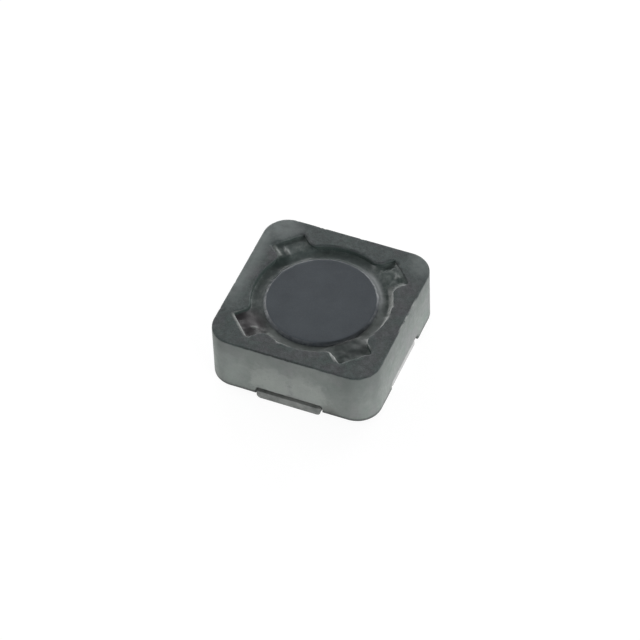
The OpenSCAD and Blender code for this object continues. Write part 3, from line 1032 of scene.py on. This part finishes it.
def stained_and_painted_light(paint, colour, away):
    """The adhesive's colour: brown and shaded in its places, with painted shade along the rim by the front
    right pocket and painted light on the near side of the bead.
    """
    brown = paint.plan_near(-4.2, -3.0, 0.4, 1.4, 0.5)
    dome = paint.plan_near(3.15, -2.75, 1.0, 1.8, 0.7)
    # Painted shade along the rim by the front right pocket.
    groove_shade = paint.times(paint.spread(away, FLANGE_R + 0.05, FLANGE_R + 0.3, 0.9, 0),
                         paint.plan_near(2.9, -2.6, 1.2, 2.2))
    # Painted light: the bead is paler on its near side.
    near_side = paint.most(paint.plan_near(-0.3, -4.4, 1.9, 2.9), paint.plan_near(4.2, -0.9, 1.0, 1.8))
    painted_light = paint.times(paint.spread(away, FLANGE_R - 0.05, FLANGE_R + 0.15, 0.3, 0.8), near_side)
    shaded = paint.plan_near(-3.8, -3.8, 1.0, 1.8, 0.8)
    return paint.over(colour, [
        (brown, (0.070, 0.055, 0.062)),
        (dome, (0.020, 0.026, 0.026)),
        (groove_shade, (0.008, 0.011, 0.012)),
        (painted_light, (0.135, 0.150, 0.145)),
        (shaded, (0.032, 0.026, 0.030)),
    ])


def scuffed_and_painted_light(paint, colour, away):
    """The adhesive's colour with painted light on its far side, a painted highlight where it is drawn up the
    rim, and pale scuffs, flecks and smears that are partly painted highlights.
    """
    # Painted light on the far side, fading out towards the bore.
    far_side_light = paint.times(paint.spread(away, FLANGE_R + 0.1, BORE_R, 0.65, 0.25),
                       paint.spread(paint.along(RIM_FAR_SIDE_ANGLE), -0.6, 1.6))
    # Painted highlight where the bead is drawn up the rim at the back right.
    fillet_highlight = paint.times(paint.spread(away, FLANGE_R + 0.1, FLANGE_R + 0.4, 0.75, 0),
                         paint.plan_near(3.0, 2.4, 1.3, 2.6))
    # Pale scuffs and painted highlight by the bore's right edge.
    scuffs_and_highlight = paint.times(paint.spread(away, BORE_R - 0.25, BORE_R - 0.15),
                         paint.plan_near(4.65, 0.9, 1.4, 2.1),
                         paint.spread(paint.noise(3.1, 3, 0.6), 0.34, 0.5, 0.35, 0.95))
    # Pale flecks and painted glints by the bore's near edge.
    flecks_and_glints = paint.times(paint.patches((3.6, 3, 0.6), 0.46, 0.6),
                         paint.spread(away, BORE_R - 0.45, BORE_R - 0.25, 0, 0.5),
                         paint.plan_near(-0.9, -4.7, 1.6, 2.6))
    corner_stain = paint.plan_near(-3.9, 2.3, 0.35, 0.85, 0.7)
    return paint.over(colour, [
        (far_side_light, (0.115, 0.135, 0.133)),
        (fillet_highlight, (0.22, 0.235, 0.24)),
        (scuffs_and_highlight, (0.28, 0.295, 0.285)),
        (flecks_and_glints, (0.25, 0.265, 0.26)),
        (corner_stain, (0.017, 0.029, 0.026)),
        (pale_smears_and_highlights(paint), (0.27, 0.29, 0.28)),
    ])


def dark_adhesive():
    """Cured epoxy: near black with a green or brown cast, with painted light on its far side and pale scuffs
    that are partly painted highlights.
    """
    paint = Paint("dark_adhesive")
    away = paint.off_axis()
    colour = scuffed_and_painted_light(paint, stained_and_painted_light(paint, cured_epoxy(paint), away), away)
    rough = paint.spread(paint.noise(1.6, 3), 0.35, 0.65, 0.28, 0.55)
    return paint.finish(colour, rough, paint.noise(2.4, 2), 0.02, 0.5, EPOXY)


def amber_adhesive():
    """Thin cured epoxy film, amber and cloudy."""
    paint = Paint("amber_adhesive")
    colour = paint.mix(paint.noise(2, 3), (0.12, 0.08, 0.05), (0.2, 0.14, 0.09))
    return paint.finish(colour, paint.drift((3, 2), 0.3, 0.5), paint.noise(5, 3), 0.01, 0.4)


# -------------------- plastic and metal finishes

METAL = {"Metallic": 1.0}


def base_plastic():
    """Moulded dark grey plastic with a fine matt skin, rubbed a little along its edges."""
    paint = Paint("base_plastic")
    clouds = paint.patches((1.1, 4), 0.38, 0.64)
    colour = paint.over(paint.mix(clouds, (0.12, 0.13, 0.125), (0.23, 0.24, 0.23)), [
        (paint.patches((28, 2), 0.62, 0.75, 0.35), (0.16, 0.15, 0.13)),
        (paint.times(paint.edges(), 0.5), (0.13, 0.125, 0.115)),
    ])
    return paint.finish(colour, paint.drift((4, 3), 0.42, 0.6), paint.noise(18, 3), 0.008, 0.5)


def tinned_strip():
    """Tin plate: soft metal grey with faint rolling streaks and duller patches."""
    paint = Paint("tinned_strip")
    colour = paint.mix(paint.patches((1.5, 4), 0.3, 0.7), (0.47, 0.48, 0.485), (0.62, 0.62, 0.615))
    colour = paint.mix(paint.patches((3.1, 3, 0.6, 0.6), 0.58, 0.74, 0.45), colour, (0.42, 0.40, 0.37))
    return paint.finish(colour, paint.drift((5, 4), 0.24, 0.46), paint.noise(7, 4), 0.008, 0.6, METAL)


def solder_metal():
    """Solder: brighter than the strip, with a fine frosted crystal skin."""
    paint = Paint("solder")
    colour = paint.mix(paint.spread(paint.cells(5), 0.1, 0.6), (0.66, 0.66, 0.67), (0.52, 0.52, 0.53))
    return paint.finish(colour, paint.drift((6, 3), 0.18, 0.4), paint.cells(8), 0.01, 0.5, METAL)


def enamelled_copper():
    """Copper wire under clear enamel."""
    paint = Paint("enamelled_copper")
    colour = paint.mix(paint.patches((1.8, 3), 0.3, 0.7), (0.42, 0.13, 0.05), (0.62, 0.24, 0.10))
    enamel = {"Metallic": 0.85, "Coat Weight": 0.8, "Coat Roughness": 0.12}
    return paint.finish(colour, paint.drift((6, 2), 0.24, 0.4), paint.noise(9, 2), 0.004, 0.4, enamel)


def finish_piece(piece, material, slot, *nodes):
    """Gives a piece its material and ties it to the frame in place of its CAD nodes."""
    piece.data.materials.clear()
    piece.data.materials.append(material)
    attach(piece, "root")
    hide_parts(*nodes)


# -------------------- stage

CENTRE = (Vector(cad_low) + Vector(cad_high)) / 2

# The camera: directions in degrees, lengths in millimetres, and its aim from the part's centre
CAMERA_AZIMUTH = 24.185
CAMERA_ELEVATION = 48.26
CAMERA_ROLL = -2.384
CAMERA_DISTANCE = 249.68
CAMERA_AIM = (-0.157, -0.010, 0)
CAMERA_LENS = 208.47

# The floor, a little under the part: its greys, and the glow that makes it white to the camera
FLOOR_HALF = 400
FLOOR_DROP = 0.004
FLOOR_WHITE = (0.9, 0.9, 0.9)
FLOOR_DIM = (0.14, 0.14, 0.14)
FLOOR_GLOW = 0.92

# The middle of the tent's dim opening
DIM_AZIMUTH = 24
DIM_ELEVATION = 62

# Soft boxes, as azimuth, elevation and power in watts
LAMP_DISTANCE = 160
LAMP_SIZE = 80
LAMPS = {
    "low_box": (60, 12, 0.20),
    "back_box_0": (165, 16, 0.09),
    "back_box_1": (210, 16, 0.09),
    "back_box_2": (255, 16, 0.09),
}


def direction(azimuth, elevation):
    """Unit vector from the part, in degrees. Azimuth 0 is the front and 90 the right."""
    a, e = math.radians(azimuth), math.radians(elevation)
    return Vector((math.sin(a) * math.cos(e), -math.cos(a) * math.cos(e), math.sin(e)))


def build_camera():
    """A long lens from above the front right."""
    back = direction(CAMERA_AZIMUTH, CAMERA_ELEVATION)
    roll = math.radians(CAMERA_ROLL)
    up = (Vector((0, 0, 1)) - back * back.z).normalized()
    right = up.cross(back)
    rolled_right = right * math.cos(roll) + up * math.sin(roll)
    rolled_up = back.cross(rolled_right)
    data = bpy.data.cameras.new("camera")
    data.lens = CAMERA_LENS
    data.sensor_width = 36
    data.clip_start = 0.01
    data.clip_end = 5
    camera = bpy.data.objects.new("camera", data)
    bpy.context.scene.collection.objects.link(camera)
    place = CENTRE + Vector(CAMERA_AIM) * MM + back * CAMERA_DISTANCE * MM
    camera.matrix_world = Matrix((
        (rolled_right.x, rolled_up.x, back.x, place.x),
        (rolled_right.y, rolled_up.y, back.y, place.y),
        (rolled_right.z, rolled_up.z, back.z, place.z),
        (0, 0, 0, 1),
    ))
    bpy.context.scene.camera = camera


def floor_material():
    """White to the camera and in mirrors, a plain pale floor to other light, and clear from below."""
    material = bpy.data.materials.new("floor")
    tree = Tree(material)
    tree.nodes.clear()
    rays = tree.nodes.new("ShaderNodeLightPath").outputs
    mirrored = tree.math("MAXIMUM", rays["Is Glossy Ray"], rays["Is Transmission Ray"])
    seen = tree.math("MAXIMUM", rays["Is Camera Ray"], mirrored)
    white = tree.add("ShaderNodeBsdfDiffuse", {"Color": FLOOR_WHITE}).outputs[0]
    dim = tree.add("ShaderNodeBsdfDiffuse", {"Color": FLOOR_DIM}).outputs[0]
    glow = tree.add("ShaderNodeEmission", {"Strength": FLOOR_GLOW}).outputs[0]
    shown = tree.add("ShaderNodeAddShader", {0: dim, 1: glow}).outputs[0]
    upper = tree.add("ShaderNodeMixShader", {0: seen, 1: white, 2: shown}).outputs[0]
    clear = tree.nodes.new("ShaderNodeBsdfTransparent").outputs[0]
    below = tree.nodes.new("ShaderNodeNewGeometry").outputs["Backfacing"]
    whole = tree.add("ShaderNodeMixShader", {0: below, 1: upper, 2: clear}).outputs[0]
    tree.add("ShaderNodeOutputMaterial", {"Surface": whole})
    return material


def build_floor():
    """A white floor that shows the part's shadow faintly."""
    half = FLOOR_HALF
    corners = [(-half, -half, 0), (half, -half, 0), (half, half, 0), (-half, half, 0)]
    floor = make_object("floor", corners, [(0, 1, 2, 3)])
    floor.location.z = -FLOOR_DROP * MM
    floor.data.materials.append(floor_material())


def build_world():
    """A soft white tent, open and dim on the camera's side overhead."""
    world = bpy.data.worlds.new("studio")
    bpy.context.scene.world = world
    tree = Tree(world)
    tree.nodes.clear()
    around = tree.nodes.new("ShaderNodeTexCoord").outputs["Generated"]
    opening = {0: around, 1: direction(DIM_AZIMUTH, DIM_ELEVATION)}
    toward = tree.add("ShaderNodeVectorMath", opening, "DOT_PRODUCT").outputs["Value"]
    level = tree.add("ShaderNodeMapRange", {
        "Value": toward,
        "From Min": 0.05,
        "From Max": 0.95,
        "To Min": 1.0,
        "To Max": 0.1,
    })
    level.interpolation_type = "SMOOTHSTEP"
    light = tree.add("ShaderNodeBackground", {"Strength": level.outputs[0]}).outputs[0]
    tree.add("ShaderNodeOutputWorld", {"Surface": light})


def build_lamp(name, azimuth, elevation, power):
    """A square soft box that faces the part. Azimuth 0 is in front, as for the camera."""
    data = bpy.data.lights.new(name, "AREA")
    data.shape = "SQUARE"
    data.size = LAMP_SIZE * MM
    data.energy = power
    lamp = bpy.data.objects.new(name, data)
    back = direction(azimuth, elevation)
    lamp.location = CENTRE + back * LAMP_DISTANCE * MM
    lamp.rotation_mode = "QUATERNION"
    lamp.rotation_quaternion = back.to_track_quat("Z", "Y")
    bpy.context.scene.collection.objects.link(lamp)


# -------------------- the scene

build_camera()
build_world()
build_floor()
for name, (azimuth, elevation, power) in LAMPS.items():
    build_lamp(name, azimuth, elevation, power)

bpy.context.scene.view_settings.view_transform = "Standard"

ferrite = shield_ferrite()
epoxy = dark_adhesive()
tin = tinned_strip()
solder = solder_metal()

finish_piece(build_shield(), ferrite, "shield_ferrite", "shield_core")
finish_piece(build_drum(), drum_ferrite(), "drum_ferrite", "drum_core")
finish_piece(build_rim_bead(), epoxy, "dark_adhesive", "rim_bond")
for corner in CORNERS:
    finish_piece(build_corner_dab(corner), epoxy, "dark_adhesive", "corner_bond_" + corner)
finish_piece(softened_copy("base_plate", "base", BASE_BEVEL), base_plastic(), "base_plastic", "base_plate")
for side in ("right", "left"):
    terminal = softened_copy("terminal_" + side, "terminal_strip_" + side, STRIP_BEVEL)
    finish_piece(terminal, tin, "tinned_strip", "terminal_" + side)
    joint = build_solder("solder_" + side, "solder_joint_" + side)
    finish_piece(joint, solder, "solder", "solder_" + side)
finish_piece(build_wire(), enamelled_copper(), "enamelled_copper", "winding")
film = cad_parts["base_bond"]
film.data.materials.clear()
film.data.materials.append(amber_adhesive())
